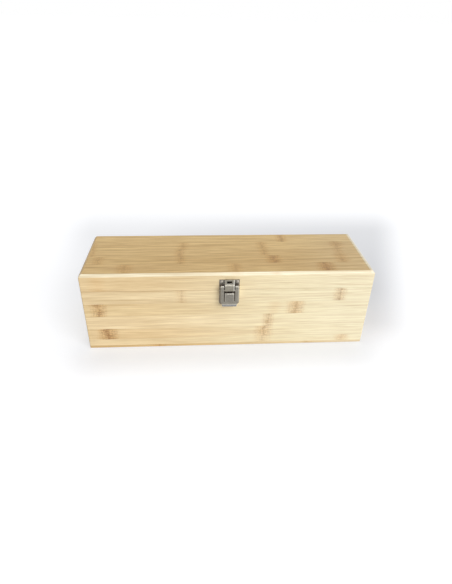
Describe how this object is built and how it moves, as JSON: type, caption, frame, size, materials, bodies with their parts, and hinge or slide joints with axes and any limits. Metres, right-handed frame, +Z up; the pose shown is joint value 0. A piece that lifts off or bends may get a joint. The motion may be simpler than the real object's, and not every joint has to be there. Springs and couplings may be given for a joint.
{
  "type": "brush box with hinged lid",
  "caption": "Long rectangular bamboo box for brushes with a bevelled hinged lid, closed by a small over-centre toggle latch at the front.",
  "frame": {"origin": "centre of the underside of the bottom panel", "axes": "+X along the box to the right, +Y to the back with the hinges, -Y is the front with the latch, +Z up"},
  "size_m": [0.35, 0.1205, 0.1065],
  "materials": {
    "bamboo_wall": "satin lacquered bamboo, grain along the box",
    "bamboo_end": "satin lacquered bamboo end walls",
    "bamboo_base": "satin lacquered bamboo board",
    "bamboo_top": "satin lacquered bamboo board, a darker tan than the walls",
    "latch_plate_metal": "antique nickel plate on stamped steel",
    "latch_lever_metal": "antique nickel plate on stamped steel, polished on its edges",
    "hinge_metal": "antique nickel plate on stamped steel",
    "pin_metal": "nickel-plated wire and rivets",
    "screw_metal": "nickel-plated screws"
  },
  "bodies": {
    "box": {"front_panel": "bamboo_wall", "back_panel": "bamboo_wall", "left_end_panel": "bamboo_end", "right_end_panel": "bamboo_end", "bottom_panel": "bamboo_base", "latch_base_plate": "latch_plate_metal", "latch_base_screws": "screw_metal", "lever_rivets": "pin_metal", "left_hinge_body_leaf": "hinge_metal", "right_hinge_body_leaf": "hinge_metal", "left_hinge_pin": "pin_metal", "right_hinge_pin": "pin_metal", "hinge_body_screws": "screw_metal"},
    "lid": {"lid_top_panel": "bamboo_top", "lid_front_rail": "bamboo_wall", "lid_back_rail": "bamboo_wall", "lid_left_rail": "bamboo_end", "lid_right_rail": "bamboo_end", "latch_catch_plate": "latch_plate_metal", "latch_catch_screws": "screw_metal", "left_hinge_lid_leaf": "hinge_metal", "right_hinge_lid_leaf": "hinge_metal", "hinge_lid_screws": "screw_metal"},
    "lever": {"latch_lever": "latch_lever_metal", "tongue_pin": "pin_metal"},
    "tongue": {"latch_tongue": "latch_lever_metal"}
  },
  "joints": [
    {"name": "lid_hinge", "type": "hinge", "parent": "box", "child": "lid", "pos_m": [0, 0.0563, 0.084], "axis": [-1, 0, 0], "range_deg": [0, 180]},
    {"name": "lever_pivot", "type": "hinge", "parent": "box", "child": "lever", "pos_m": [0, -0.0582, 0.0903], "axis": [-1, 0, 0], "range_deg": [0, 105]},
    {"name": "tongue_pivot", "type": "hinge", "parent": "lever", "child": "tongue", "pos_m": [0, -0.058, 0.0855], "axis": [-1, 0, 0], "range_deg": [-105, 0]}
  ],
  "couplings": [
    {"joint": "tongue_pivot", "follows": "lever_pivot", "ratio": -1}
  ]
}
